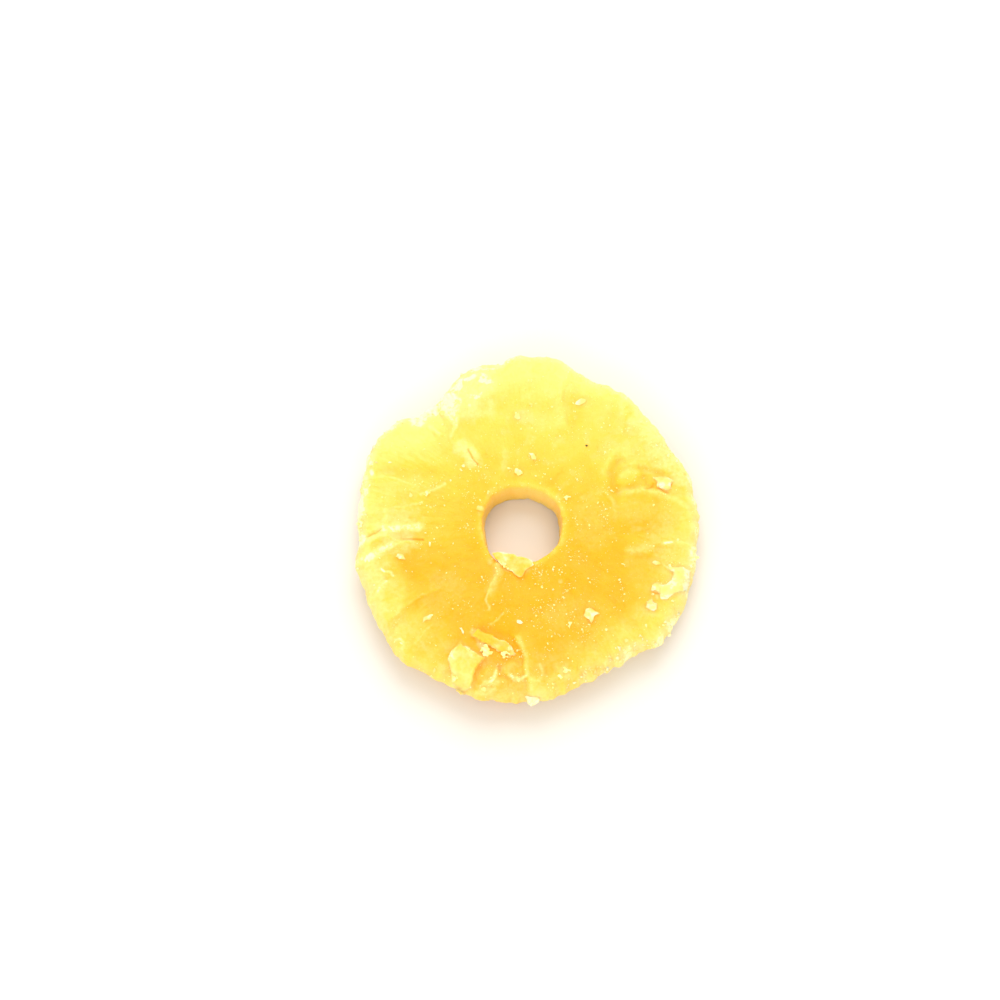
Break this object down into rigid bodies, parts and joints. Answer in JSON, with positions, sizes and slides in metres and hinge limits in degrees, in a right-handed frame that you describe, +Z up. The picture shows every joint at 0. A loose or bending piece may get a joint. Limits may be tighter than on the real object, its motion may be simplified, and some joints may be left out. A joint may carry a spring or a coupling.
{
  "type": "candied pineapple ring",
  "caption": "Candied pineapple ring lying flat: thick cored slice with a lobed rim, folds between the lobes, a torn crag near one edge and sugar flakes on its face.",
  "frame": {"origin": "middle of the ring's footprint, on the surface that it lies on", "axes": "+Z up along the ring's axis, out of the shown cut face; +Y towards the smooth top lobe; +X to the right when looking down at that face"},
  "size_m": [0.0705, 0.0745, 0.0101],
  "materials": {
    "flesh": "waxy translucent candied fruit, sugared"
  },
  "bodies": {
    "root": {"pineapple_ring": "flesh"}
  },
  "joints": []
}
